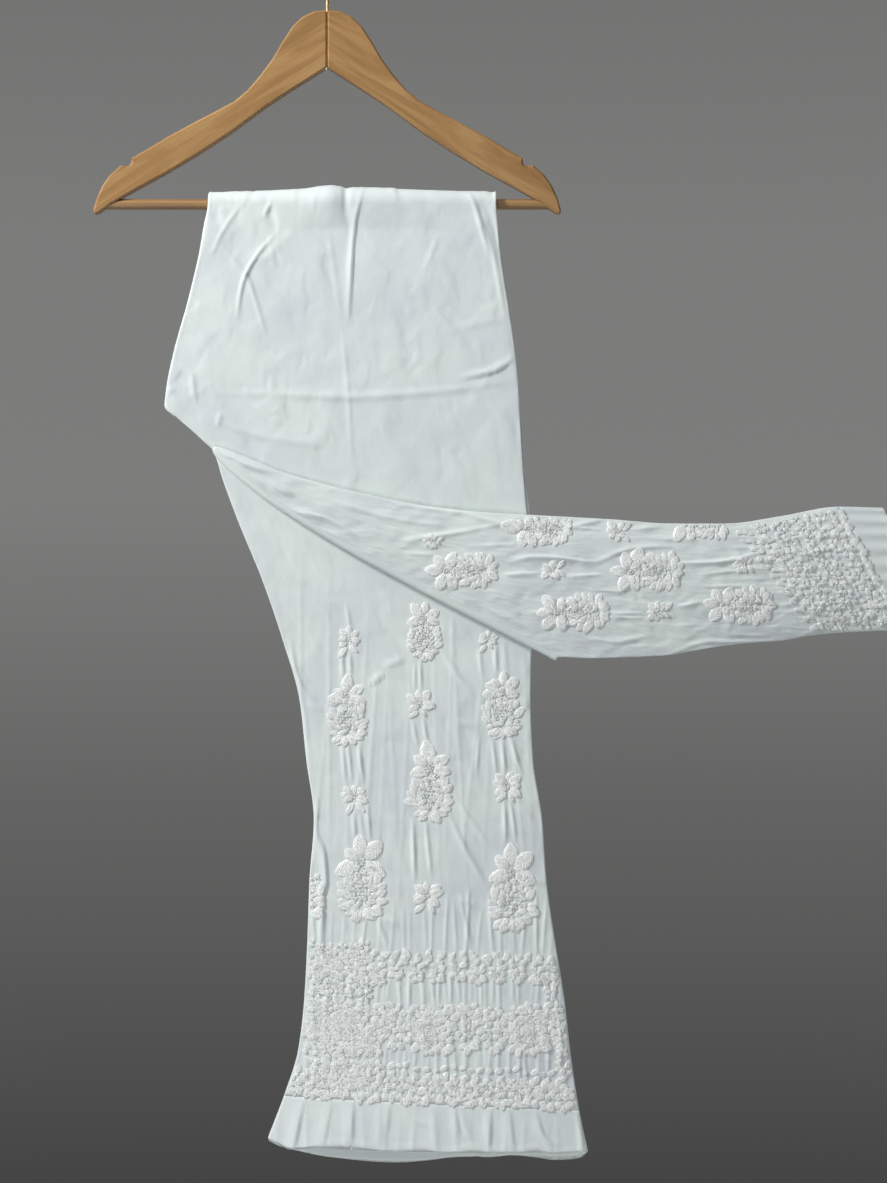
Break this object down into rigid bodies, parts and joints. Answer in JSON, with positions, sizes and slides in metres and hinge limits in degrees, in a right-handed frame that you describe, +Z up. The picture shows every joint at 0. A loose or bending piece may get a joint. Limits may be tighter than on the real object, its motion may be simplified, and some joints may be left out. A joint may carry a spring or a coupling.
{
  "type": "trousers on a hanger",
  "caption": "White cotton trousers with raised floral stitching, folded over the bar of a wooden hanger, one leg turned over and swung out sideways.",
  "frame": {"origin": "top of the inside of the hanger's hook, where a rail carries it", "axes": "+X to the viewer's right along the hanger's bar, -Y towards the viewer, +Z up"},
  "size_m": [0.8105, 0.0587, 1.1626],
  "materials": {
    "cotton": "matte plain-woven cotton with tone-on-tone stitching",
    "elastic_casing": "matte cotton, gathered over elastic",
    "wood": "clear satin lacquer over honey-coloured wood",
    "copper_wire": "satin copper-coloured wire"
  },
  "bodies": {
    "root": {"right_back_hip": "cotton", "right_back_leg": "cotton", "right_front_hip": "cotton", "right_front_leg": "cotton", "left_front": "cotton", "left_back": "cotton", "right_hem_front": "cotton", "right_hem_back": "cotton", "left_hem_front": "cotton", "left_hem_back": "cotton", "waistband": "elastic_casing", "hanger_arm_left": "wood", "hanger_arm_right": "wood", "hanger_bar": "wood", "hanger_hook": "copper_wire"}
  },
  "joints": []
}
